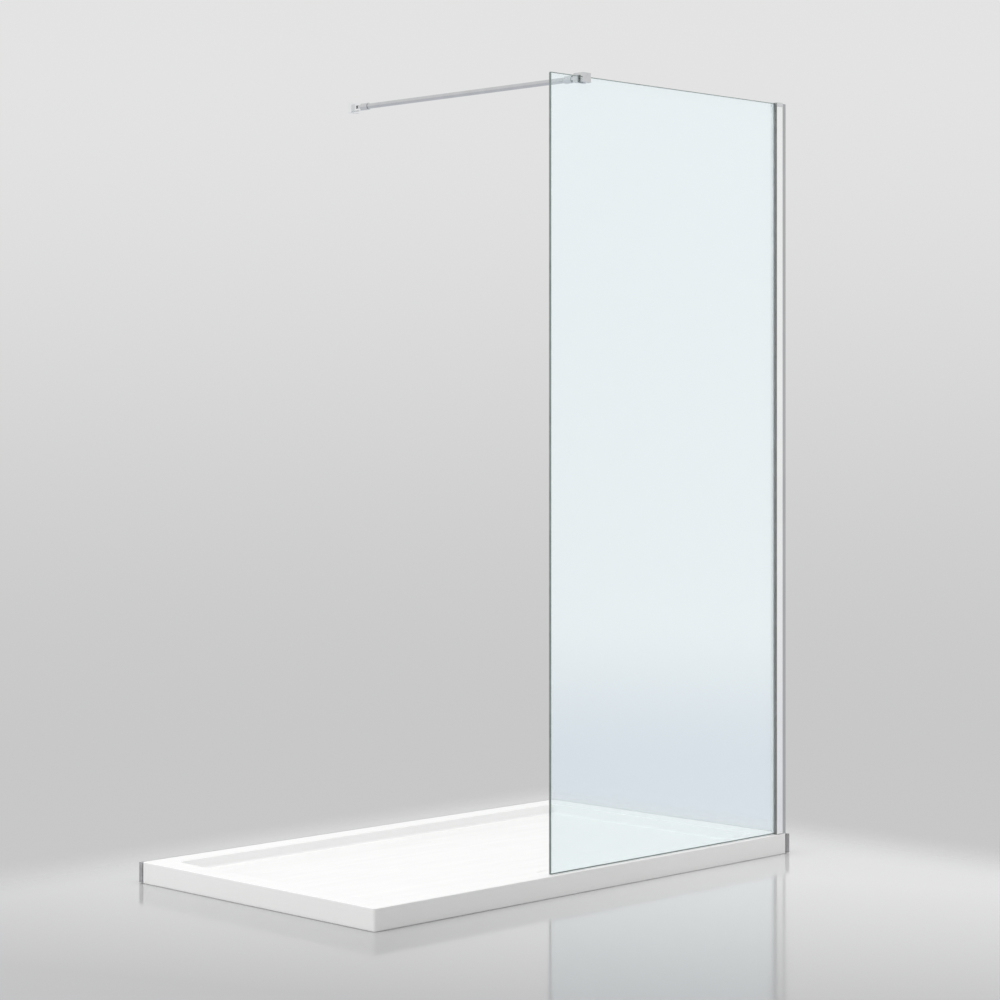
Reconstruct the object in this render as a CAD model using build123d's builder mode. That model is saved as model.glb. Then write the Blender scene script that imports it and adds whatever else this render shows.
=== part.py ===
"""Walk-in shower screen on its tray, in millimetres.

X runs along the glass towards the side wall, Y from the glass to the back wall, +Z is up.
The origin is the centre of the tray, at floor level. The walls themselves are not modelled:
the side wall's finished face is the plane at the tray's right end, the back wall's the plane at
its back edge. The tray's sealing strip lies behind these two planes, against the bare walls.
"""
from build123d import *
import os

os.makedirs("parts", exist_ok=True)

# Shower tray
tray_length = 1500.0
tray_width = 900.0
tray_height = 55.0
tray_corner_radius = 8.0
tray_edge_radius = 2.0
tray_foot_bevel = 3.0
rim_width = 65.0
basin_depth = 26.0
basin_wall_lean = 9.0
basin_corner_radius = 22.0
basin_lip_radius = 3.0
floor_fall = 6.0
floor_cove_radius = 4.0
strip_thickness = 12.0
strip_below_rim = 2.0
strip_above_floor = 2.0

# Waste outlet in the tray's floor, and its loose cover
waste_bore_diameter = 90.0
waste_recess_diameter = 112.0
waste_recess_depth = 8.0
waste_land_width = 5.0
waste_from_rim = 77.0
cover_gap = 2.0
cover_thickness = 4.0
cover_edge_radius = 1.0
cover_foot_diameter = 6.0
cover_foot_count = 4
cover_foot_start_angle = 45.0

# Glass panel and the seal that it stands on
glass_width = 880.0
glass_height = 1998.0
glass_thickness = 8.0
glass_arris = 1.5
glass_setback = 10.0
seal_height = 2.0

# Wall channel, which is screwed to the side wall
channel_depth = 21.0
channel_web = 2.0
channel_leg = 1.6
channel_reveal = 14.5
channel_top_gap = 0.5
channel_hole_diameter = 5.5
channel_outer_hole_inset = 100.0
channel_inner_hole_spacing = 600.0
plug_thickness = 4.0

# Glass profile, which holds the glass and slides over the wall channel
profile_depth = 24.0
profile_width = 25.0
profile_leg = 1.6
profile_web = 1.6
profile_corner_radius = 0.8
pocket_depth = 10.0
glass_insertion = 9.0
lip_depth = 3.0
lip_reach = 2.0
gasket_depth = 9.0
gasket_proud = 0.6
gasket_cover = 2.6
cap_plate = 2.0
cap_skirt = 10.0
cap_wall = 0.8
slide_gap = 0.2
slide_in = 5.0
slide_out = 4.0

# Screws that lock the profile on the channel, under snap-on covers
lock_screw_diameter = 3.0
lock_screw_length = 6.0
lock_head_diameter = 6.4
lock_head_height = 2.0
lock_head_edge_radius = 0.6
lock_screw_inset = 160.0
lock_screw_count = 3
cover_cap_diameter = 9.2
cover_cap_height = 3.4
cover_cap_wall = 1.0

# Clamp that grips the top edge of the glass
clamp_length = 30.0
clamp_height = 25.0
clamp_roof = 6.5
clamp_outer_jaw = 8.0
clamp_inner_jaw = 12.0
clamp_from_edge = 120.0
clamp_edge_radius = 1.2
liner_thickness = 2.0
plate_thickness = 2.0
plate_margin = 2.0
jaw_screw_diameter = 4.0
jaw_screw_offset = 11.3
screw_recess = 0.8

# Swivel pivots at both ends of the bar
pin_diameter = 5.0
ear_thickness = 5.0
ear_radius = 8.0
tongue_thickness = 8.0
tongue_radius = 7.4
swivel_gap = 0.2
clamp_pivot_reach = 10.0
bracket_pivot_reach = 21.0
fork_depth = 17.0

# Support bar and its sockets
bar_diameter = 15.0
bar_wall = 1.2
socket_diameter = 20.0
socket_length = 26.0
socket_floor = 6.0
socket_edge_radius = 1.0
socket_screw_diameter = 4.0

# Wall bracket
bracket_width = 30.0
bracket_height = 30.0
bracket_depth = 12.0
bracket_wall = 3.0
bracket_front = 4.0
wall_plate_thickness = 5.0
wall_plate_hole_diameter = 4.5
wall_plate_hole_spacing = 15.0
bracket_screw_diameter = 3.0

# Clearances
running_clearance = 0.05
fit_clearance = 0.02
hex_share_of_screw = 0.5
hex_depth = 1.5

# Planes and places worked out from the sizes above
side_wall_x = tray_length / 2
back_wall_y = tray_width / 2
basin_length = tray_length - 2 * rim_width
basin_width = tray_width - 2 * rim_width
floor_z = tray_height - basin_depth
land_z = floor_z - floor_fall
recess_z = land_z - waste_recess_depth
waste_y = -basin_width / 2 + waste_from_rim

glass_y = -tray_width / 2 + glass_setback + glass_thickness / 2
glass_bottom_z = tray_height + seal_height
glass_top_z = glass_bottom_z + glass_height
profile_x = side_wall_x - channel_reveal - profile_depth
glass_end_x = profile_x + glass_insertion
glass_edge_x = glass_end_x - glass_width
profile_height = glass_top_z - glass_bottom_z
pocket_width = profile_width - 2 * profile_leg
mouth_width = pocket_width - 2 * lip_reach
channel_x = side_wall_x - channel_depth
channel_width = pocket_width - 2 * slide_gap
channel_height = glass_top_z - channel_top_gap - tray_height
profile_back_x = profile_x + profile_depth
lock_screw_x = (channel_x + profile_back_x) / 2
lock_face_y = glass_y + profile_width / 2
lock_screw_step = (profile_height - 2 * lock_screw_inset) / (lock_screw_count - 1)
lock_screw_heights = [
    glass_bottom_z + lock_screw_inset + number * lock_screw_step for number in range(lock_screw_count)
]

bar_x = glass_edge_x + clamp_from_edge
clamp_slot_top_z = glass_top_z + liner_thickness
clamp_top_z = clamp_slot_top_z + clamp_roof
bar_z = clamp_top_z - clamp_height / 2
clamp_slot_front_y = glass_y - glass_thickness / 2 - liner_thickness
clamp_slot_back_y = glass_y + glass_thickness / 2 + liner_thickness + plate_thickness
clamp_front_y = clamp_slot_front_y - clamp_outer_jaw
clamp_back_y = clamp_slot_back_y + clamp_inner_jaw
bracket_face_y = back_wall_y - bracket_depth
clamp_pin_y = clamp_back_y + clamp_pivot_reach
bracket_pin_y = bracket_face_y - bracket_pivot_reach
socket_start = ear_radius + 2 * swivel_gap + socket_edge_radius
bar_start_y = clamp_pin_y + socket_start + socket_floor
bar_end_y = bracket_pin_y - socket_start - socket_floor
fork_height = tongue_thickness + 2 * swivel_gap + 2 * ear_thickness


def finish(part, name):
    """Label one finished piece and write it to its own file."""
    part.label = name
    export_step(part, f"parts/{name}.step")


# The tray is one cast slab: a flat rim, leaning basin walls, and a floor that falls to the waste
with BuildPart() as tray_body:
    with BuildSketch(Plane.XY):
        RectangleRounded(tray_length, tray_width, tray_corner_radius)
    extrude(amount=tray_height)
    with BuildSketch(Plane.XY.offset(tray_height)):
        RectangleRounded(basin_length, basin_width, basin_corner_radius)
    with BuildSketch(Plane.XY.offset(floor_z)):
        RectangleRounded(
            basin_length - 2 * basin_wall_lean,
            basin_width - 2 * basin_wall_lean,
            basin_corner_radius - basin_wall_lean,
        )
    loft(ruled=True, mode=Mode.SUBTRACT)
    land_size = waste_recess_diameter + 2 * waste_land_width
    with BuildSketch(Plane.XY.offset(floor_z)):
        Rectangle(basin_length - 2 * basin_wall_lean - 2 * floor_cove_radius,
                  basin_width - 2 * basin_wall_lean - 2 * floor_cove_radius)
    with BuildSketch(Plane.XY.offset(land_z)):
        with Locations((0, waste_y)):
            Rectangle(land_size, land_size)
    loft(ruled=True, mode=Mode.SUBTRACT)
    with BuildSketch(Plane.XY.offset(recess_z)):
        with Locations((0, waste_y)):
            Circle(waste_recess_diameter / 2)
    extrude(amount=floor_z - recess_z, mode=Mode.SUBTRACT)
    with BuildSketch(Plane.XY):
        with Locations((0, waste_y)):
            Circle(waste_bore_diameter / 2)
    extrude(amount=recess_z, mode=Mode.SUBTRACT)
    rim_face = tray_body.faces().filter_by(Axis.Z).sort_by(Axis.Z)[-1]
    fillet(rim_face.inner_wires()[0].edges(), basin_lip_radius)
    rim_face = tray_body.faces().filter_by(Axis.Z).sort_by(Axis.Z)[-1]
    fillet(rim_face.outer_wire().edges(), tray_edge_radius)
    base_face = tray_body.faces().filter_by(Axis.Z).sort_by(Axis.Z)[0]
    chamfer(base_face.outer_wire().edges(), tray_foot_bevel)
finish(tray_body.part, "tray_body")

# A foam strip round the two sides of the tray that face the walls seals the joint with them
strip_end_x = side_wall_x + strip_thickness
strip_end_y = back_wall_y + strip_thickness
with BuildPart() as wall_strip:
    with BuildSketch(Plane.XY.offset(strip_above_floor)):
        with BuildLine():
            Polyline(
                (-side_wall_x, back_wall_y),
                (side_wall_x, back_wall_y),
                (side_wall_x, -back_wall_y),
                (strip_end_x, -back_wall_y),
                (strip_end_x, strip_end_y),
                (-side_wall_x, strip_end_y),
                close=True,
            )
        make_face()
    extrude(amount=tray_height - strip_below_rim - strip_above_floor)
finish(wall_strip.part, "wall_strip")

# The loose cover stands on four feet in the waste recess, level with the land round it
with BuildPart() as waste_cover:
    with BuildSketch(Plane.XY.offset(land_z - cover_thickness)):
        with Locations((0, waste_y)):
            Circle(waste_recess_diameter / 2 - cover_gap)
    extrude(amount=cover_thickness)
    fillet(waste_cover.edges().group_by(Axis.Z)[-1], cover_edge_radius)
    foot_circle_radius = (waste_bore_diameter + waste_recess_diameter) / 4
    with BuildSketch(Plane.XY.offset(recess_z)):
        with Locations((0, waste_y)):
            with PolarLocations(foot_circle_radius, cover_foot_count, start_angle=cover_foot_start_angle):
                Circle(cover_foot_diameter / 2)
    extrude(amount=land_z - cover_thickness - recess_z)
finish(waste_cover.part, "waste_cover")

# The wall channel is a plain U with screw holes in its web and open slots for the lock screws
with BuildPart() as wall_channel:
    with BuildSketch(Plane.XY.offset(tray_height)):
        with Locations((channel_x, glass_y)):
            Rectangle(channel_depth, channel_width, align=(Align.MIN, Align.CENTER))
            Rectangle(
                channel_depth - channel_web,
                channel_width - 2 * channel_leg,
                align=(Align.MIN, Align.CENTER),
                mode=Mode.SUBTRACT,
            )
    extrude(amount=channel_height)
    channel_mid_z = tray_height + channel_height / 2
    outer_hole_offset = channel_height / 2 - channel_outer_hole_inset
    inner_hole_offset = channel_inner_hole_spacing / 2
    with BuildSketch(Plane(origin=(side_wall_x, glass_y, channel_mid_z), x_dir=(0, 1, 0), z_dir=(1, 0, 0))):
        with Locations(
            (0, -outer_hole_offset),
            (0, -inner_hole_offset),
            (0, inner_hole_offset),
            (0, outer_hole_offset),
        ):
            Circle(channel_hole_diameter / 2)
    extrude(amount=-channel_web, mode=Mode.SUBTRACT)
    slot_end_x = lock_screw_x + slide_in + lock_screw_diameter
    slot_width = lock_screw_diameter + 2 * slide_gap
    channel_side_y = glass_y + channel_width / 2
    with BuildSketch(Plane(origin=(channel_x, channel_side_y, 0), x_dir=(1, 0, 0), z_dir=(0, -1, 0))):
        with Locations(*[(0, height) for height in lock_screw_heights]):
            Rectangle(slot_end_x - channel_x, slot_width, align=(Align.MIN, Align.CENTER))
    extrude(amount=channel_leg, mode=Mode.SUBTRACT)
finish(wall_channel.part, "wall_channel")

# A plug closes the open top of the wall channel
with BuildPart() as channel_top_plug:
    with BuildSketch(Plane.XY.offset(tray_height + channel_height - plug_thickness)):
        with Locations((side_wall_x - channel_web, glass_y)):
            Rectangle(
                channel_depth - channel_web - slide_gap,
                channel_width - 2 * channel_leg,
                align=(Align.MAX, Align.CENTER),
            )
    extrude(amount=plug_thickness)
finish(channel_top_plug.part, "channel_top_plug")

# The glass panel has ground, lightly chamfered edges
with BuildPart() as glass_panel:
    with BuildSketch(Plane.XY.offset(glass_bottom_z)):
        with Locations((glass_edge_x, glass_y)):
            Rectangle(glass_width, glass_thickness, align=(Align.MIN, Align.CENTER))
    extrude(amount=glass_height)
    chamfer(glass_panel.edges(), glass_arris)
finish(glass_panel.part, "glass_panel")

# A soft strip seals the glass against the tray's rim
with BuildPart() as bottom_seal:
    with BuildSketch(Plane.XY.offset(tray_height)):
        with Locations((glass_edge_x, glass_y)):
            Rectangle(profile_x - glass_edge_x, glass_thickness, align=(Align.MIN, Align.CENTER))
    extrude(amount=seal_height)
finish(bottom_seal.part, "bottom_seal")

# The glass profile: a lipped pocket for the glass, a web, and two legs that straddle the channel
with BuildPart() as glass_profile:
    with BuildSketch(Plane.XY.offset(glass_bottom_z)):
        with Locations((profile_x + profile_depth / 2, glass_y)):
            RectangleRounded(profile_depth, profile_width, profile_corner_radius)
        with Locations((profile_x, glass_y)):
            Rectangle(lip_depth, mouth_width, align=(Align.MIN, Align.CENTER), mode=Mode.SUBTRACT)
        with Locations((profile_x + lip_depth, glass_y)):
            Rectangle(
                pocket_depth - lip_depth,
                pocket_width,
                align=(Align.MIN, Align.CENTER),
                mode=Mode.SUBTRACT,
            )
        with Locations((profile_back_x, glass_y)):
            Rectangle(
                profile_depth - pocket_depth - profile_web,
                pocket_width,
                align=(Align.MAX, Align.CENTER),
                mode=Mode.SUBTRACT,
            )
    extrude(amount=profile_height)
    with BuildSketch(Plane(origin=(lock_screw_x, lock_face_y, 0), x_dir=(1, 0, 0), z_dir=(0, -1, 0))):
        with Locations(*[(0, height) for height in lock_screw_heights]):
            Circle(lock_screw_diameter / 2 + fit_clearance)
    extrude(amount=profile_leg, mode=Mode.SUBTRACT)
finish(glass_profile.part, "glass_profile")


def make_gasket(side):
    """One wedge gasket between the glass and the lip on the given side, +1 or -1, with a flap over the lip."""
    glass_side = glass_thickness / 2
    lip_side = mouth_width / 2
    barb_side = pocket_width / 2 - slide_gap
    section = [
        (-gasket_proud, glass_side),
        (gasket_depth, glass_side),
        (gasket_depth, lip_side - lip_reach / 2),
        (gasket_depth - lip_reach, barb_side),
        (lip_depth, barb_side),
        (lip_depth, lip_side),
        (0, lip_side),
        (0, lip_side + gasket_cover),
        (-gasket_proud, lip_side + gasket_cover),
    ]
    with BuildPart() as gasket:
        with BuildSketch(Plane.XY.offset(glass_bottom_z)):
            with BuildLine():
                Polyline(*[(profile_x + depth, glass_y + side * out) for depth, out in section], close=True)
            make_face()
        extrude(amount=profile_height)
    return gasket.part


finish(make_gasket(-1), "outer_gasket")
finish(make_gasket(1), "inner_gasket")

# A cap closes the top of the profile, with a skirt over its outer and inner face
with BuildPart() as profile_top_cap:
    with BuildSketch(Plane.XY.offset(glass_top_z)):
        with Locations((profile_x + profile_depth / 2, glass_y)):
            Rectangle(profile_depth, profile_width + 2 * cap_wall)
    extrude(amount=cap_plate)
    with BuildSketch(Plane.XY.offset(glass_top_z - cap_skirt)):
        with Locations((profile_x + profile_depth / 2, glass_y)):
            Rectangle(profile_depth, profile_width + 2 * cap_wall)
            Rectangle(profile_depth, profile_width, mode=Mode.SUBTRACT)
    extrude(amount=cap_skirt)
    fillet(profile_top_cap.edges().filter_by(Axis.X).group_by(Axis.Z)[-1], cap_wall / 2)
finish(profile_top_cap.part, "profile_top_cap")

# A foot under the pocket end of the profile stands on the tray's rim, clear of the wall channel
with BuildPart() as profile_foot:
    with BuildSketch(Plane.XY.offset(tray_height)):
        with Locations((profile_x, glass_y)):
            Rectangle(pocket_depth + profile_web, profile_width, align=(Align.MIN, Align.CENTER))
    extrude(amount=seal_height)
finish(profile_foot.part, "profile_foot")

# Pan head screws lock the profile on the channel, from inside the shower
lock_screw_points = [(0, height) for height in lock_screw_heights]
lock_plane = Plane(origin=(lock_screw_x, lock_face_y, 0), x_dir=(-1, 0, 0), z_dir=(0, 1, 0))
with BuildPart() as lock_screws:
    with BuildSketch(lock_plane):
        with Locations(*lock_screw_points):
            Circle(lock_head_diameter / 2)
    extrude(amount=lock_head_height)
    fillet(lock_screws.edges().group_by(Axis.Y)[-1], lock_head_edge_radius)
    with BuildSketch(lock_plane):
        with Locations(*lock_screw_points):
            Circle(lock_screw_diameter / 2)
    extrude(amount=-lock_screw_length)
finish(lock_screws.part, "lock_screws")

# Each lock screw is hidden under a snap-on domed cover
with BuildPart() as lock_screw_covers:
    with BuildSketch(lock_plane):
        with Locations(*lock_screw_points):
            Circle(cover_cap_diameter / 2)
    extrude(amount=cover_cap_height)
    fillet(lock_screw_covers.edges().group_by(Axis.Y)[-1], cover_cap_wall)
    with BuildSketch(lock_plane):
        with Locations(*lock_screw_points):
            Circle(cover_cap_diameter / 2 - cover_cap_wall)
    extrude(amount=cover_cap_height - cover_cap_wall, mode=Mode.SUBTRACT)
finish(lock_screw_covers.part, "lock_screw_covers")


def make_fork(root_y, pin_y, slot_start_y):
    """The two ears that carry a swivel pin, from their root face to round the pin."""
    direction = 1 if pin_y > root_y else -1
    with BuildPart() as fork:
        with BuildSketch(Plane.XY.offset(bar_z - fork_height / 2)):
            with Locations((bar_x, pin_y)):
                Circle(ear_radius)
            with Locations((bar_x, (root_y + pin_y) / 2)):
                Rectangle(2 * ear_radius, abs(pin_y - root_y))
        extrude(amount=fork_height)
        slot_end_y = pin_y + direction * ear_radius
        slot_height = tongue_thickness + 2 * swivel_gap
        with BuildSketch(Plane.XY.offset(bar_z - slot_height / 2)):
            with Locations((bar_x, (slot_start_y + slot_end_y) / 2)):
                Rectangle(2 * ear_radius, abs(slot_end_y - slot_start_y))
        extrude(amount=slot_height, mode=Mode.SUBTRACT)
        with BuildSketch(Plane.XY.offset(bar_z - fork_height / 2)):
            with Locations((bar_x, pin_y)):
                Circle(pin_diameter / 2 + fit_clearance)
        extrude(amount=fork_height, mode=Mode.SUBTRACT)
    return fork.part


# The clamp body straddles the top edge of the glass and carries the first fork
clamp_mid_y = (clamp_front_y + clamp_back_y) / 2
clamp_slot_width = clamp_slot_back_y - clamp_slot_front_y
clamp_bottom_z = clamp_top_z - clamp_height
with BuildPart() as clamp_body:
    with BuildSketch(Plane.XY.offset(clamp_bottom_z)):
        with Locations((bar_x, clamp_mid_y)):
            Rectangle(clamp_length, clamp_back_y - clamp_front_y)
    extrude(amount=clamp_height)
    fillet(clamp_body.edges(), clamp_edge_radius)
    with BuildSketch(Plane.XY.offset(clamp_bottom_z)):
        with Locations((bar_x, clamp_slot_front_y)):
            Rectangle(clamp_length, clamp_slot_width, align=(Align.CENTER, Align.MIN))
    extrude(amount=clamp_slot_top_z - clamp_bottom_z, mode=Mode.SUBTRACT)
    jaw_plane = Plane(origin=(bar_x, clamp_back_y, bar_z), x_dir=(-1, 0, 0), z_dir=(0, 1, 0))
    with BuildSketch(jaw_plane):
        with Locations((-jaw_screw_offset, 0), (jaw_screw_offset, 0)):
            Circle(jaw_screw_diameter / 2 + fit_clearance)
    extrude(amount=-clamp_inner_jaw, mode=Mode.SUBTRACT)
    add(make_fork(clamp_back_y, clamp_pin_y, clamp_back_y))
finish(clamp_body.part, "clamp_body")

# A soft liner is folded over the edge of the glass inside the clamp
liner_leg = glass_top_z - clamp_bottom_z - plate_margin
with BuildPart() as clamp_liner:
    with BuildSketch(Plane.XY.offset(glass_top_z - liner_leg)):
        with Locations((bar_x, glass_y)):
            Rectangle(clamp_length, glass_thickness + 2 * liner_thickness)
    extrude(amount=liner_leg + liner_thickness)
    with BuildSketch(Plane.XY.offset(glass_top_z - liner_leg)):
        with Locations((bar_x, glass_y)):
            Rectangle(clamp_length, glass_thickness)
    extrude(amount=liner_leg, mode=Mode.SUBTRACT)
finish(clamp_liner.part, "clamp_liner")

# A steel plate spreads the force of the two grub screws over the liner
with BuildPart() as clamp_plate:
    with BuildSketch(Plane.XY.offset(glass_top_z - liner_leg)):
        with Locations((bar_x, clamp_slot_back_y)):
            Rectangle(clamp_length - 2 * plate_margin, plate_thickness, align=(Align.CENTER, Align.MAX))
    extrude(amount=liner_leg)
finish(clamp_plate.part, "clamp_plate")


def make_grub_screws(plane, points, diameter, length):
    """Hexagon socket grub screws whose mouths lie on the plane, running down into it."""
    hex_radius = hex_share_of_screw * diameter / 2
    with BuildPart() as screws:
        with BuildSketch(plane):
            with Locations(*points):
                Circle(diameter / 2)
        extrude(amount=-length)
        with BuildSketch(plane):
            with Locations(*points):
                RegularPolygon(hex_radius, side_count=6, major_radius=False)
        extrude(amount=-hex_depth, mode=Mode.SUBTRACT)
    return screws.part


def make_pin(pin_y):
    """One swivel pin, a little shorter than the fork that holds it."""
    pin_length = fork_height - 2 * swivel_gap
    with BuildPart() as pin:
        with BuildSketch(Plane.XY.offset(bar_z - pin_length / 2)):
            with Locations((bar_x, pin_y)):
                Circle(pin_diameter / 2)
        extrude(amount=pin_length)
        chamfer(pin.edges(), swivel_gap)
    return pin.part


def make_bar_end(pin_y, direction):
    """The socket at one end of the bar, with the tongue that turns on its pin."""
    socket_y = pin_y + direction * socket_start
    socket_mid_y = socket_y + direction * (socket_floor + socket_length) / 2
    with BuildPart() as bar_end:
        with BuildSketch(Plane(origin=(bar_x, socket_y, bar_z), z_dir=(0, direction, 0))):
            Circle(socket_diameter / 2)
        extrude(amount=socket_length)
        fillet(bar_end.edges(), socket_edge_radius)
        with BuildSketch(Plane.XY.offset(bar_z - tongue_thickness / 2)):
            with Locations((bar_x, pin_y)):
                Circle(tongue_radius)
            with Locations((bar_x, (pin_y + socket_y) / 2 + direction * socket_edge_radius / 2)):
                Rectangle(2 * tongue_radius, socket_start + socket_edge_radius)
        extrude(amount=tongue_thickness)
        with BuildSketch(Plane.XY.offset(bar_z - tongue_thickness / 2)):
            with Locations((bar_x, pin_y)):
                Circle(pin_diameter / 2 + running_clearance)
        extrude(amount=tongue_thickness, mode=Mode.SUBTRACT)
        bore_y = socket_y + direction * socket_floor
        with BuildSketch(Plane(origin=(bar_x, bore_y, bar_z), z_dir=(0, direction, 0))):
            Circle(bar_diameter / 2 + fit_clearance)
        extrude(amount=socket_length - socket_floor, mode=Mode.SUBTRACT)
        with BuildSketch(Plane(origin=(bar_x, socket_mid_y, bar_z), z_dir=(0, 0, -1))):
            Circle(socket_screw_diameter / 2 + fit_clearance)
        extrude(amount=socket_diameter / 2, mode=Mode.SUBTRACT)
    return bar_end.part


jaw_screw_plane = jaw_plane.offset(-screw_recess)
jaw_screw_points = [(-jaw_screw_offset, 0), (jaw_screw_offset, 0)]
jaw_screw_length = clamp_inner_jaw - screw_recess
finish(
    make_grub_screws(jaw_screw_plane, jaw_screw_points, jaw_screw_diameter, jaw_screw_length),
    "clamp_grub_screws",
)
finish(make_pin(clamp_pin_y), "clamp_pin")

# The support bar is a plain tube between the two sockets
with BuildPart() as bar_tube:
    with BuildSketch(Plane(origin=(bar_x, bar_start_y, bar_z), z_dir=(0, 1, 0))):
        Circle(bar_diameter / 2)
        Circle(bar_diameter / 2 - bar_wall, mode=Mode.SUBTRACT)
    extrude(amount=bar_end_y - bar_start_y)
finish(bar_tube.part, "bar_tube")
finish(make_bar_end(clamp_pin_y, 1), "bar_glass_end")
finish(make_bar_end(bracket_pin_y, -1), "bar_wall_end")

# One grub screw under each socket holds the tube
socket_screw_reach = socket_start + (socket_floor + socket_length) / 2
socket_screw_plane = Plane(
    origin=(bar_x, 0, bar_z - socket_diameter / 2 + screw_recess / 2), x_dir=(1, 0, 0), z_dir=(0, 0, -1)
)
socket_screw_points = [
    (0, -(clamp_pin_y + socket_screw_reach)),
    (0, -(bracket_pin_y - socket_screw_reach)),
]
socket_screw_length = (socket_diameter - bar_diameter - screw_recess) / 2
finish(
    make_grub_screws(socket_screw_plane, socket_screw_points, socket_screw_diameter, socket_screw_length),
    "bar_grub_screws",
)

# The bracket body is a hollow block that slips over its wall plate, with the second fork in front
bracket_back_y = back_wall_y - slide_gap
plate_pocket_width = bracket_width - 2 * bracket_wall
plate_pocket_height = bracket_height - 2 * bracket_wall
with BuildPart() as bracket_body:
    with BuildSketch(Plane(origin=(bar_x, bracket_face_y, bar_z), z_dir=(0, 1, 0))):
        Rectangle(bracket_width, bracket_height)
    extrude(amount=bracket_back_y - bracket_face_y)
    front_face = bracket_body.faces().sort_by(Axis.Y)[0]
    fillet(front_face.edges() + bracket_body.edges().filter_by(Axis.Y), clamp_edge_radius)
    with BuildSketch(Plane(origin=(bar_x, bracket_face_y + bracket_front, bar_z), z_dir=(0, 1, 0))):
        Rectangle(plate_pocket_width, plate_pocket_height)
    extrude(amount=bracket_depth - bracket_front, mode=Mode.SUBTRACT)
    bracket_screw_y = back_wall_y - wall_plate_thickness / 2
    with BuildSketch(Plane(origin=(bar_x, bracket_screw_y, bar_z), z_dir=(0, 0, -1))):
        Circle(bracket_screw_diameter / 2 + fit_clearance)
    extrude(amount=bracket_height, mode=Mode.SUBTRACT)
    add(make_fork(bracket_face_y, bracket_pin_y, bracket_pin_y - ear_radius + fork_depth))
finish(bracket_body.part, "bracket_body")

# The wall plate is screwed to the back wall first, through two holes
with BuildPart() as bracket_plate:
    with BuildSketch(Plane(origin=(bar_x, back_wall_y, bar_z), x_dir=(-1, 0, 0), z_dir=(0, 1, 0))):
        Rectangle(plate_pocket_width - 2 * fit_clearance, plate_pocket_height - 2 * fit_clearance)
        with Locations((0, -wall_plate_hole_spacing / 2), (0, wall_plate_hole_spacing / 2)):
            Circle(wall_plate_hole_diameter / 2, mode=Mode.SUBTRACT)
    extrude(amount=-wall_plate_thickness)
finish(bracket_plate.part, "bracket_plate")

# A small grub screw from below pulls the body onto its plate
bracket_bottom_z = bar_z - bracket_height / 2
bracket_screw_plane = Plane(
    origin=(bar_x, bracket_screw_y, bracket_bottom_z + screw_recess / 2), z_dir=(0, 0, -1)
)
bracket_screw_length = bracket_wall - screw_recess / 2
finish(
    make_grub_screws(bracket_screw_plane, [(0, 0)], bracket_screw_diameter, bracket_screw_length),
    "bracket_grub_screw",
)
finish(make_pin(bracket_pin_y), "bracket_pin")
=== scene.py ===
"""A walk-in shower screen on its tray, dressed for the picture.

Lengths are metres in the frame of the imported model: X runs along the glass towards its profile, Y from
the glass across the tray, +Z is up, and the origin is the middle of the tray at floor level.
"""
import math

import bmesh
import bpy
from mathutils import Matrix, Vector


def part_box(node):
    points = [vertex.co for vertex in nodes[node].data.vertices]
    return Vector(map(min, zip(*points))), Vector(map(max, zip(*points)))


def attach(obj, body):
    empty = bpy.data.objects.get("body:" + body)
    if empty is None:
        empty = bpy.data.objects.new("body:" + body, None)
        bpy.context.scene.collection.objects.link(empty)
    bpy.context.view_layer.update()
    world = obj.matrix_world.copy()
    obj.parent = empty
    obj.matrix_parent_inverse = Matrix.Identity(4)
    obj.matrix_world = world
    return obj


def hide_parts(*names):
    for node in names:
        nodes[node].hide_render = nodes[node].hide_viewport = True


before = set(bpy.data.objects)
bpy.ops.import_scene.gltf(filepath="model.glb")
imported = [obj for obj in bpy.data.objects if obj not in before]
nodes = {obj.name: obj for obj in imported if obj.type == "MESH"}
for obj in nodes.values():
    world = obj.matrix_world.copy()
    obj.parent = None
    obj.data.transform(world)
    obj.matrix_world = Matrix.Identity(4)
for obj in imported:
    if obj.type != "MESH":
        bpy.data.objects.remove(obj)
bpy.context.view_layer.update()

# The picture is taken level, at chest height, from beyond the tray's near left corner. The place, the
# turn, the lens and the shift were fitted to the straight edges of the tray, the glass and the bar.
right_angle = math.pi / 2
camera_place = (-4.6275, -4.8588, 1.1815)
camera_turn = math.radians(-45.87)
camera_lens = 90.96
camera_shift = (-0.0751, -0.0774)

camera = bpy.data.objects.new("camera", bpy.data.cameras.new("camera"))
camera.location = camera_place
camera.rotation_euler = (right_angle, 0.0, camera_turn)
camera.data.lens = camera_lens
camera.data.shift_x, camera.data.shift_y = camera_shift
bpy.context.scene.collection.objects.link(camera)
bpy.context.scene.camera = camera
bpy.context.scene.view_settings.view_transform = "Standard"


def wire(tree, node, inputs):
    """Give a node's inputs, each by its name, as a value or as another node's output."""
    for name, value in inputs.items():
        if isinstance(value, bpy.types.NodeSocket):
            tree.links.new(value, node.inputs[name])
        else:
            node.inputs[name].default_value = value
    return node


def put(tree, kind, inputs=None, **settings):
    """Add one node to a node tree and return it with its inputs given."""
    node = tree.nodes.new(kind)
    for name, value in settings.items():
        setattr(node, name, value)
    return wire(tree, node, inputs or {})


def reckon(tree, operation, first, second):
    """Work one sum, such as MULTIPLY or MAXIMUM, on two numbers."""
    return put(tree, "ShaderNodeMath", {0: first, 1: second}, operation=operation).outputs["Value"]


def ease(tree, value, start, end):
    """Rise softly from 0 to 1 while a value goes from a start to an end."""
    return put(tree, "ShaderNodeMapRange", {"Value": value, "From Min": start, "From Max": end},
               interpolation_type="SMOOTHSTEP").outputs["Result"]


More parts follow.
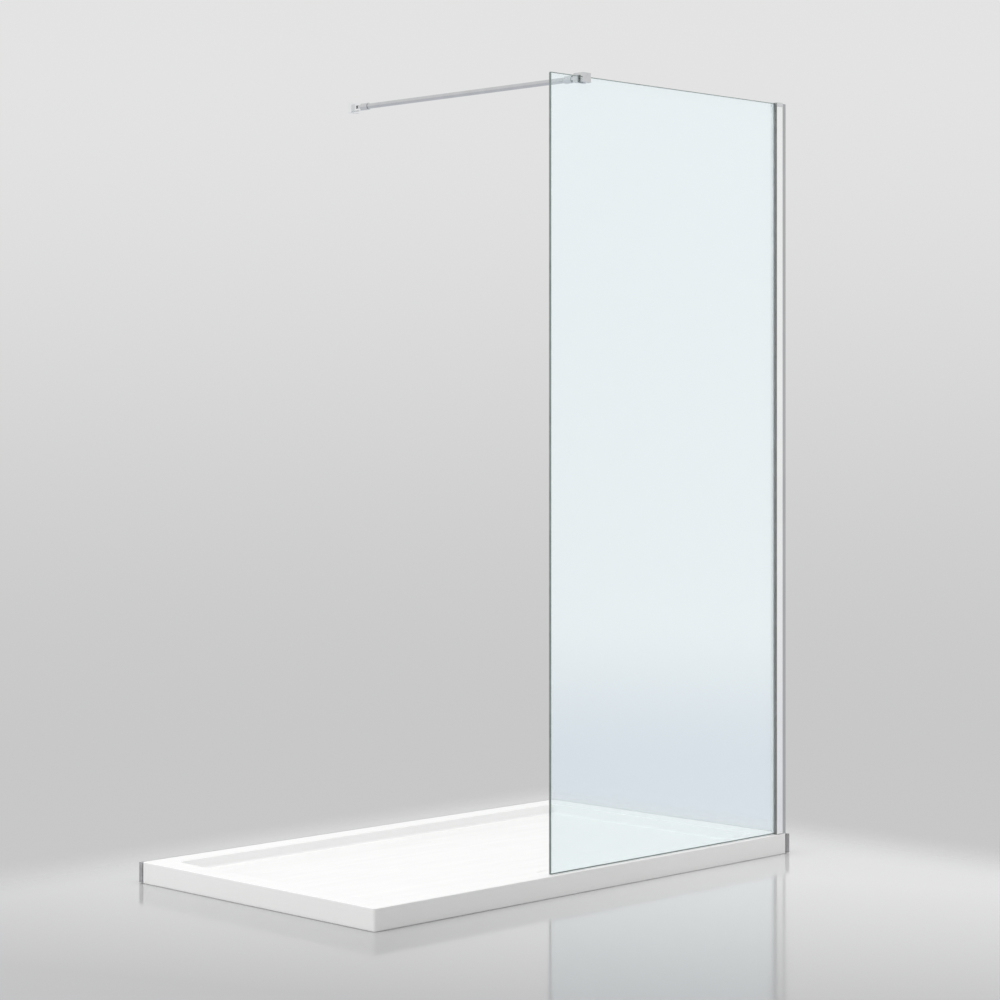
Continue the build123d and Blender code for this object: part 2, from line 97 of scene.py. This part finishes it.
def mix_colours(tree, share, first, second):
    """Mix two colours by a share. The Mix node's colour sockets have no names of their own."""
    colour_a, colour_b, colour_out = 6, 7, 2
    mix = put(tree, "ShaderNodeMix", {"Factor": share, colour_a: first, colour_b: second}, data_type="RGBA")
    return mix.outputs[colour_out]


def mix_shaders(tree, share, first, second):
    """Mix two shaders by a share."""
    return put(tree, "ShaderNodeMixShader", {0: share, 1: first, 2: second}).outputs["Shader"]


# The studio round the object is a plain pale sky, lighter above than below. Metal, glass and the polish
# of the floor see a lighter sky of their own, and everything else is lit by an even white.
sky_low, sky_high = (0.575, 0.575, 0.575, 1.0), (0.77, 0.77, 0.77, 1.0)
sky_from, sky_to = -0.14, 0.15
bright_low, bright_high = (0.75, 0.765, 0.81, 1.0), (0.93, 0.93, 0.935, 1.0)
bright_from, bright_to = -0.135, -0.075
even_white, even_strength = (1.0, 1.0, 1.0, 1.0), 0.48

world = bpy.data.worlds.new("studio")
world.use_nodes = True
bpy.context.scene.world = world
sky = world.node_tree
sky.nodes.clear()
direction = put(sky, "ShaderNodeTexCoord").outputs["Generated"]
upward = put(sky, "ShaderNodeSeparateXYZ", {"Vector": direction}).outputs["Z"]


def sky_light(colour, strength=1.0):
    """The light of a sky of one colour, or of a colour that changes."""
    return put(sky, "ShaderNodeBackground", {"Color": colour, "Strength": strength}).outputs["Background"]


seen = sky_light(mix_colours(sky, ease(sky, upward, sky_from, sky_to), sky_low, sky_high))
bright = sky_light(mix_colours(sky, ease(sky, upward, bright_from, bright_to), bright_low, bright_high))
even = sky_light(even_white, even_strength)
path = put(sky, "ShaderNodeLightPath").outputs
mirrored = reckon(sky, "MAXIMUM", path["Is Glossy Ray"], path["Is Transmission Ray"])
unmirrored = mix_shaders(sky, path["Is Camera Ray"], even, seen)
put(sky, "ShaderNodeOutputWorld", {"Surface": mix_shaders(sky, mirrored, unmirrored, bright)})


def hang_softbox(name, place, aim, size, power):
    """Hang one large square lamp at a place, turned towards a point."""
    lamp = bpy.data.lights.new(name, "AREA")
    lamp.shape = "SQUARE"
    lamp.size = size
    lamp.energy = power
    hung = bpy.data.objects.new(name, lamp)
    hung.location = place
    hung.rotation_euler = (Vector(aim) - Vector(place)).to_track_quat("-Z", "Y").to_euler()
    hung.visible_camera = False
    hung.visible_glossy = False
    hung.visible_transmission = False
    bpy.context.scene.collection.objects.link(hung)


# Three large softboxes light the object from above and from both sides. The camera doesn't see them, and
# neither do metal and glass, in which they would show as hard white shapes.
hang_softbox("overhead_softbox", place=(-0.3, 0.3, 4.2), aim=(0.0, 0.0, 0.0), size=5.4, power=130)
hang_softbox("left_softbox", place=(-4.9, 0.3, 1.7), aim=(0.0, 0.0, 0.5), size=4.2, power=90)
hang_softbox("right_softbox", place=(3.1, -3.0, 1.5), aim=(0.28, -0.44, 1.5), size=3.6, power=40)


def start_finish(name):
    """Start a material and return it with its node tree, its shader and the place on the piece."""
    finish = bpy.data.materials.new(name)
    finish.use_nodes = True
    tree = finish.node_tree
    place = put(tree, "ShaderNodeTexCoord").outputs["Object"]
    return finish, tree, tree.nodes["Principled BSDF"], place


def show_surface(tree, surface):
    """Make a shader's output the surface that a material shows."""
    wire(tree, tree.nodes["Material Output"], {"Surface": surface})


# The floor is a plain, pale, faintly polished disc. A pool of light is painted into its colour, which grows
# lighter towards the profile's end of the glass. Past the foam strip on two sides of the tray, and further
# out all round, it fades into the sky.
floor_radius, floor_steps = 9.0, 96
# Painted light: the floor's colour runs from a painted shade to a painted pool of light along one
# direction.
floor_painted_shade, floor_painted_light = (0.36, 0.36, 0.365, 1.0), (0.66, 0.66, 0.665, 1.0)
painted_light_along = (1.0, 0.4, 0.0)
painted_light_from, painted_light_to = -1.6, 0.2
fade_past_x, fade_past_y, fade_width = 0.78, 0.48, 0.5
fade_from, fade_to = 1.8, 3.0

form = bmesh.new()
bmesh.ops.create_circle(form, cap_ends=True, segments=floor_steps, radius=floor_radius)
floor = bpy.data.objects.new("studio_floor", bpy.data.meshes.new("studio_floor"))
form.to_mesh(floor.data)
form.free()
bpy.context.scene.collection.objects.link(floor)

paint, tree, shader, place = start_finish("floor_paint")
along = put(tree, "ShaderNodeVectorMath", {0: place, 1: painted_light_along}, operation="DOT_PRODUCT")
painted_paler = put(tree, "ShaderNodeMapRange", {"Value": along.outputs["Value"], "From Min": painted_light_from,
                                         "From Max": painted_light_to})
shade = mix_colours(tree, painted_paler.outputs["Result"], floor_painted_shade, floor_painted_light)
wire(tree, shader, {"Base Color": shade, "Roughness": 0.1, "Specular IOR Level": 0.3})
sides = put(tree, "ShaderNodeSeparateXYZ", {"Vector": place}).outputs
past_x = reckon(tree, "SUBTRACT", sides["X"], fade_past_x)
past_y = reckon(tree, "SUBTRACT", sides["Y"], fade_past_y)
near_fade = ease(tree, reckon(tree, "MAXIMUM", past_x, past_y), 0.0, fade_width)
reach = put(tree, "ShaderNodeVectorMath", {0: place}, operation="LENGTH").outputs["Value"]
far_fade = ease(tree, reach, fade_from, fade_to)
gone = put(tree, "ShaderNodeBsdfTransparent").outputs["BSDF"]
fade = reckon(tree, "MAXIMUM", near_fade, far_fade)
show_surface(tree, mix_shaders(tree, fade, shader.outputs["BSDF"], gone))
floor.data.materials.append(paint)

# The shower tray is one slab, cast in stone resin behind a white gel coat. Its rim is flat, its basin's
# sides lean, its floor falls to the waste, and the mould leaves every edge softly rounded.
tray_length, tray_width, tray_height = 1.5, 0.9, 0.055
tray_corner, tray_edge, tray_foot = 0.008, 0.002, 0.003
basin_length, basin_width, basin_corner = 1.37, 0.77, 0.022
basin_depth, basin_lean, basin_lip, basin_cove = 0.026, 0.009, 0.003, 0.009
waste_y, bore_radius, recess_radius, recess_height = -0.308, 0.045, 0.056, 0.015
land_radius, land_height, land_edge = 0.061, 0.023, 0.0008
ring_steps, fillet_steps = 96, 6
weld_within = 0.00001
sharp_from = math.radians(35)


def start_loft(steps):
    """Start a loft on a round face, whose corners each keep their own turn about the middle."""
    form = bmesh.new()
    turns = form.verts.layers.float.new("turn")
    bmesh.ops.create_circle(form, cap_ends=True, segments=steps, radius=1.0)
    form.faces.ensure_lookup_table()
    for vert in form.verts:
        vert[turns] = math.atan2(vert.co.y, vert.co.x) + math.pi / steps
    return form, form.faces[0], turns


def shape_face(face, turns, length, width, corner, height, middle_y=0.0):
    """Lay the face's corners on a rounded rectangle, or on a circle where the corners meet."""
    for vert in face.verts:
        along, across = math.cos(vert[turns]), math.sin(vert[turns])
        vert.co.x = math.copysign(length / 2 - corner, along) + corner * along
        vert.co.y = middle_y + math.copysign(width / 2 - corner, across) + corner * across
        vert.co.z = height


def loft(form, face, turns, outlines):
    """Extrude the face from outline to outline and return the last face."""
    for outline in outlines:
        face = bmesh.ops.extrude_discrete_faces(form, faces=[face])["faces"][0]
        shape_face(face, turns, *outline)
    return face


def round_steps(radius, turn):
    """A fillet from a level face to one that drops at a turn: how far past their corner, how far down."""
    tangent = radius * math.tan(turn / 2)
    angles = [turn * step / fillet_steps for step in range(fillet_steps + 1)]
    return [(radius * math.sin(angle) - tangent, radius * (1 - math.cos(angle))) for angle in angles]


def slab_outline(inset, height):
    """The slab's outline, drawn in by an inset, at a height."""
    return tray_length - 2 * inset, tray_width - 2 * inset, tray_corner - inset, height


def basin_outline(inset, height):
    """The basin's outline, drawn in by an inset, at a height."""
    return basin_length - 2 * inset, basin_width - 2 * inset, basin_corner - inset, height


def waste_outline(radius, height):
    """A circle about the waste at a height."""
    return 2 * radius, 2 * radius, radius, height, waste_y


def make_piece(name, form, body, *finishes):
    """Turn a finished bmesh into an evenly shaded piece that rides on a body of the model."""
    bmesh.ops.recalc_face_normals(form, faces=form.faces)
    piece = bpy.data.objects.new(name, bpy.data.meshes.new(name))
    form.to_mesh(piece.data)
    form.free()
    piece.data.shade_smooth()
    piece.data.set_sharp_from_angle(angle=sharp_from)
    piece.modifiers.new("even_shading", "WEIGHTED_NORMAL").keep_sharp = True
    for finish in finishes:
        piece.data.materials.append(finish)
    bpy.context.scene.collection.objects.link(piece)
    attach(piece, body)
    return piece


def start_group(name, inputs, outputs):
    """Start a node group whose inputs and outputs are given, each by its name and its kind."""
    group = bpy.data.node_groups.new(name, "ShaderNodeTree")
    for in_out, sockets in (("INPUT", inputs), ("OUTPUT", outputs)):
        for label, kind in sockets.items():
            group.interface.new_socket(label, in_out=in_out, socket_type=f"NodeSocket{kind}")
    return group, put(group, "NodeGroupInput").outputs, put(group, "NodeGroupOutput")


def put_group(tree, group, inputs):
    """Add a node group to a node tree and return its output."""
    return put(tree, "ShaderNodeGroup", inputs, node_tree=group).outputs[0]


def put_noise(tree, place, size, detail):
    """Add a noise over the piece and return its height."""
    return put(tree, "ShaderNodeTexNoise", {"Vector": place, "Scale": size, "Detail": detail}).outputs[0]


# Soft clouds of a second shade, as in a cast or a moulded surface
clouds, given, result = start_group(
    "soft_clouds", inputs={"Place": "Vector", "Size": "Float", "Shade": "Color", "Second Shade": "Color"},
    outputs={"Shade": "Color"})
noise = put_noise(clouds, given["Place"], given["Size"], detail=4.0)
share = put(clouds, "ShaderNodeMapRange", {"Value": noise, "From Min": 0.35, "From Max": 0.65})
mixed = mix_colours(clouds, share.outputs["Result"], given["Shade"], given["Second Shade"])
wire(clouds, result, {"Shade": mixed})

# A gloss that changes a little where the surface was wiped: broad patches, crossed by fine streaks
wiped, given, result = start_group(
    "wiped_gloss", inputs={"Place": "Vector", "Size": "Float", "Lowest": "Float", "Highest": "Float"},
    outputs={"Roughness": "Float"})
patches = put_noise(wiped, given["Place"], given["Size"], detail=3.0)
stretched = put(wiped, "ShaderNodeMapping", {"Vector": given["Place"], "Rotation": (0.6, 0.4, 0.9),
                                             "Scale": (1.0, 9.0, 1.0)})
streaks = put_noise(wiped, stretched.outputs["Vector"], given["Size"], detail=5.0)
crossed = reckon(wiped, "MULTIPLY", patches, streaks)
rough = put(wiped, "ShaderNodeMapRange", {"Value": crossed, "From Min": 0.12, "From Max": 0.38,
                                          "To Min": given["Lowest"], "To Max": given["Highest"]})
wire(wiped, result, {"Roughness": rough.outputs["Result"]})

# A fine skin: the faint, even unevenness of a cast, coated or rubber surface, as a height in metres
skin, given, result = start_group(
    "fine_skin", inputs={"Place": "Vector", "Size": "Float", "Depth": "Float"}, outputs={"Height": "Float"})
grain = put_noise(skin, given["Place"], given["Size"], detail=2.0)
wire(skin, result, {"Height": reckon(skin, "MULTIPLY", grain, given["Depth"])})


def dress(tree, shader, place, shades, cloud_size, gloss, gloss_size, relief):
    """Give a shader its clouded shade, its wiped gloss and its relief."""
    first, second = shades
    shade = put_group(tree, clouds, {"Place": place, "Size": cloud_size, "Shade": first,
                                     "Second Shade": second})
    lowest, highest = gloss
    rough = put_group(tree, wiped, {"Place": place, "Size": gloss_size, "Lowest": lowest,
                                    "Highest": highest})
    bump = put(tree, "ShaderNodeBump", {"Strength": 1.0, "Distance": 1.0, "Height": relief})
    wire(tree, shader, {"Base Color": shade, "Roughness": rough, "Normal": bump.outputs["Normal"]})


def coated_finish(name, shades, cloud_size, gloss, gloss_size, skin_size, skin_depth, specular=0.5):
    """A cast, moulded or coated finish, with a fine skin."""
    finish, tree, shader, place = start_finish(name)
    relief = put_group(tree, skin, {"Place": place, "Size": skin_size, "Depth": skin_depth})
    dress(tree, shader, place, shades, cloud_size, gloss, gloss_size, relief)
    wire(tree, shader, {"Specular IOR Level": specular})
    return finish


gel_coat = coated_finish(
    "white_gel_coat", shades=((0.90, 0.90, 0.895, 1), (0.885, 0.885, 0.88, 1)), cloud_size=3.0,
    gloss=(0.20, 0.25), gloss_size=4.0, skin_size=260.0, skin_depth=0.00002, specular=0.4)

form, face, turns = start_loft(ring_steps)
shape_face(face, turns, *waste_outline(bore_radius, 0.0))
lean_turn = right_angle - math.atan2(basin_lean, basin_depth)
floor_height = tray_height - basin_depth
outlines = [slab_outline(-past, down) for past, down in round_steps(tray_foot, right_angle)]
outlines += [slab_outline(-past, tray_height - down)
             for past, down in reversed(round_steps(tray_edge, right_angle))]
outlines += [basin_outline(past, tray_height - down) for past, down in round_steps(basin_lip, lean_turn)]
outlines += [basin_outline(basin_lean - past, floor_height + down)
             for past, down in reversed(round_steps(basin_cove, lean_turn))]
outlines += [waste_outline(land_radius, land_height)]
outlines += [waste_outline(recess_radius - past, land_height - down)
             for past, down in round_steps(land_edge, right_angle)]
outlines += [waste_outline(recess_radius, recess_height), waste_outline(bore_radius, recess_height),
             waste_outline(bore_radius, 0.0)]
last = loft(form, face, turns, outlines)
bmesh.ops.delete(form, geom=[last], context="FACES_ONLY")
bmesh.ops.remove_doubles(form, verts=form.verts, dist=weld_within)
tray = make_piece("cast_tray", form, "root", gel_coat)
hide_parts("tray_body")


def refinish(finish, *names):
    """Give model parts, whose shape stays as it is, a finish of their own."""
    for name in names:
        nodes[name].material_slots[0].material = finish


# The waste cover is a loose disc of the same resin, which stands on four feet in its recess. Use has
# worn its top a little smoother and greyer than the tray.
cover_coat = coated_finish(
    "white_cover_coat", shades=((0.85, 0.85, 0.845, 1), (0.82, 0.82, 0.81, 1)), cloud_size=20.0,
    gloss=(0.12, 0.22), gloss_size=20.0, skin_size=260.0, skin_depth=0.00002)
refinish(cover_coat, "waste_cover")

# The strip along one end and the far side of the tray is cut from grey closed cell foam. It cushions the
# tray where it is built in and takes up what is out of true, and sealant is run over it later. Its dark
# grey also serves as a painted shadow: the contact shadow where the tray's ends meet the walls.
foam_painted_shadow = coated_finish(
    "grey_cell_foam_painted_shadow", shades=((0.40, 0.40, 0.41, 1), (0.32, 0.32, 0.33, 1)), cloud_size=90.0,
    gloss=(0.75, 0.9), gloss_size=90.0, skin_size=1400.0, skin_depth=0.0002)
refinish(foam_painted_shadow, "wall_strip")

# Fine lines along a drawn or extruded piece, or fine marks all over a polished one, as a height in metres
drawn, given, result = start_group(
    "drawn_lines", inputs={"Place": "Vector", "Stretch": "Vector", "Depth": "Float"},
    outputs={"Height": "Float"})
pulled = put(drawn, "ShaderNodeVectorMath", {0: given["Place"], 1: given["Stretch"]}, operation="MULTIPLY")
lines = put_noise(drawn, pulled.outputs["Vector"], size=1.0, detail=3.0)
wire(drawn, result, {"Height": reckon(drawn, "MULTIPLY", lines, given["Depth"])})


def metal_finish(name, shades, cloud_size, gloss, gloss_size, stretch, depth):
    """A bare, anodised or plated metal finish, with fine lines or marks."""
    finish, tree, shader, place = start_finish(name)
    relief = put_group(tree, drawn, {"Place": place, "Stretch": stretch, "Depth": depth})
    dress(tree, shader, place, shades, cloud_size, gloss, gloss_size, relief)
    wire(tree, shader, {"Metallic": 1.0})
    return finish


# The channel that carries the screen is a plain extruded U of satin anodised aluminium, with screw holes
# in its back. Its darker grey is partly painted shade, the shade where it sits recessed behind the profile.
# A plug moulded in grey plastic closes its top.
satin_aluminium_painted_shade = metal_finish(
    "satin_anodised_aluminium_painted_shade", shades=((0.46, 0.465, 0.465, 1), (0.43, 0.435, 0.435, 1)), cloud_size=6.0,
    gloss=(0.32, 0.42), gloss_size=10.0, stretch=(2500, 2500, 6), depth=0.000004)
refinish(satin_aluminium_painted_shade, "wall_channel")

grey_plastic = coated_finish(
    "grey_moulded_plastic", shades=((0.34, 0.345, 0.35, 1), (0.31, 0.315, 0.32, 1)), cloud_size=40.0,
    gloss=(0.38, 0.5), gloss_size=40.0, skin_size=1500.0, skin_depth=0.00001)
refinish(grey_plastic, "channel_top_plug")

# The glass profile slides over the channel. It is extruded in aluminium, polished and anodised bright,
# and stands on a foot of the plug's grey plastic.
bright_aluminium = metal_finish(
    "bright_anodised_aluminium", shades=((0.90, 0.905, 0.90, 1), (0.87, 0.875, 0.87, 1)), cloud_size=6.0,
    gloss=(0.16, 0.26), gloss_size=10.0, stretch=(2500, 2500, 6), depth=0.000002)
refinish(bright_aluminium, "glass_profile")
refinish(grey_plastic, "profile_foot")

# The wedge that holds the glass in the profile from outside is extruded in dark rubber. It is pushed in
# by hand once the pane stands true.
rubber = coated_finish(
    "dark_gasket_rubber", shades=((0.20, 0.205, 0.205, 1), (0.16, 0.165, 0.165, 1)), cloud_size=60.0,
    gloss=(0.45, 0.62), gloss_size=60.0, skin_size=2500.0, skin_depth=0.00003)
refinish(rubber, "outer_gasket")

# The wedge inside the shower and the strip under the pane are of one milky clear vinyl. The strip seals
# the pane against the tray's rim.
milky_vinyl = coated_finish(
    "milky_clear_vinyl", shades=((0.86, 0.89, 0.89, 1), (0.80, 0.83, 0.83, 1)), cloud_size=40.0,
    gloss=(0.25, 0.4), gloss_size=40.0, skin_size=1200.0, skin_depth=0.00002)
refinish(milky_vinyl, "inner_gasket", "bottom_seal")

# The glass is one toughened float pane with flat, polished edges. Its body is all but clear and a little
# icy, and its edges show the grey green of the glass. The tint is painted a shade lighter towards the
# bottom, as a painted veil of light.
glass_low, glass_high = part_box("glass_panel")
glass_arris, arris_turn = 0.002, math.radians(45)
# Painted light: the tint grows a little lighter towards the bottom of the pane.
ice_low, ice_high = (0.91, 0.985, 1.0, 1.0), (0.90, 0.97, 0.99, 1.0)
ice_from, ice_to = 0.30, 0.60

clear_glass, tree, shader, place = start_finish("clear_toughened_glass")
upward = put(tree, "ShaderNodeSeparateXYZ", {"Vector": place}).outputs["Z"]
ice = mix_colours(tree, ease(tree, upward, ice_from, ice_to), ice_low, ice_high)
rough = put_group(tree, wiped, {"Place": place, "Size": 6.0, "Lowest": 0.0, "Highest": 0.02})
wire(tree, shader, {"Base Color": ice, "Roughness": rough, "IOR": 1.5, "Transmission Weight": 0.9})
path = put(tree, "ShaderNodeLightPath").outputs
through = put(tree, "ShaderNodeBsdfTransparent").outputs["BSDF"]
lamps_pass = mix_shaders(tree, path["Is Shadow Ray"], shader.outputs["BSDF"], through)
show_surface(tree, mix_shaders(tree, path["Is Diffuse Ray"], lamps_pass, through))

edge_glass = coated_finish(
    "polished_glass_edge", shades=((0.24, 0.29, 0.28, 1), (0.19, 0.235, 0.225, 1)), cloud_size=30.0,
    gloss=(0.08, 0.2), gloss_size=30.0, skin_size=900.0, skin_depth=0.00002)
pane_finishes = (clear_glass, edge_glass)

form = bmesh.new()
middle, size = (glass_low + glass_high) / 2, glass_high - glass_low
bmesh.ops.create_cube(form, size=1.0, matrix=Matrix.Translation(middle) @ Matrix.Diagonal((*size, 1.0)))
bmesh.ops.bevel(form, geom=form.edges[:], offset=glass_arris, affect="EDGES", segments=1, profile=0.5,
                material=-1)
bmesh.ops.recalc_face_normals(form, faces=form.faces)
for face in form.faces:
    is_broad = abs(face.normal.y) > math.cos(arris_turn / 2)
    face.material_index = pane_finishes.index(clear_glass if is_broad else edge_glass)
pane = make_piece("glass_pane", form, "screen", *pane_finishes)
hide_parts("glass_panel")

# The cap over the profile's top and the small covers over its lock screws are moulded in plastic and
# plated in satin chrome. They snap on by hand.
satin_chrome = metal_finish(
    "satin_chrome_plate", shades=((0.66, 0.665, 0.67, 1), (0.62, 0.625, 0.63, 1)), cloud_size=60.0,
    gloss=(0.14, 0.22), gloss_size=60.0, stretch=(400, 400, 400), depth=0.000001)
refinish(satin_chrome, "profile_top_cap", "lock_screw_covers")

# The clamp with its fork and the bar's two sockets are turned or milled in brass, polished and chrome
# plated. A liner of the gasket's rubber keeps the clamp off the glass.
chrome = metal_finish(
    "polished_chrome_plate", shades=((0.62, 0.625, 0.63, 1), (0.58, 0.585, 0.59, 1)), cloud_size=80.0,
    gloss=(0.03, 0.09), gloss_size=80.0, stretch=(300, 300, 300), depth=0.000001)
refinish(chrome, "clamp_body", "bar_glass_end", "bar_wall_end")
refinish(rubber, "clamp_liner")

# The bar is a drawn tube with a socket on each end. It is polished along its length and then chrome
# plated, so it keeps faint lines that run along it.
bar_chrome = metal_finish(
    "drawn_chrome_plate", shades=((0.58, 0.585, 0.59, 1), (0.54, 0.545, 0.55, 1)), cloud_size=20.0,
    gloss=(0.05, 0.12), gloss_size=20.0, stretch=(1800, 8, 1800), depth=0.000002)
refinish(bar_chrome, "bar_tube")

# The bracket at the bar's far end is a hollow block with a fork, cast in zinc and chrome plated. Its chrome
# is painted paler than the clamp's, a painted reflection of the light the block catches. It slips over its
# plate, and one grub screw holds it from below.
bracket_chrome_painted_light = metal_finish(
    "bracket_chrome_painted_light_plate", shades=((0.82, 0.825, 0.83, 1), (0.78, 0.785, 0.79, 1)), cloud_size=80.0,
    gloss=(0.05, 0.11), gloss_size=80.0, stretch=(300, 300, 300), depth=0.000001)
refinish(bracket_chrome_painted_light, "bracket_body")

# The screws, the pins and the two plates are of plain stainless steel, turned or cut from sheet. They
# are left unplated, as they are all but out of sight.
steel = metal_finish(
    "plain_stainless_steel", shades=((0.42, 0.42, 0.415, 1), (0.37, 0.37, 0.365, 1)), cloud_size=120.0,
    gloss=(0.22, 0.34), gloss_size=120.0, stretch=(3000, 3000, 3000), depth=0.000003)
refinish(steel, "lock_screws", "clamp_plate", "clamp_grub_screws", "clamp_pin", "bar_grub_screws",
         "bracket_plate", "bracket_grub_screw", "bracket_pin")
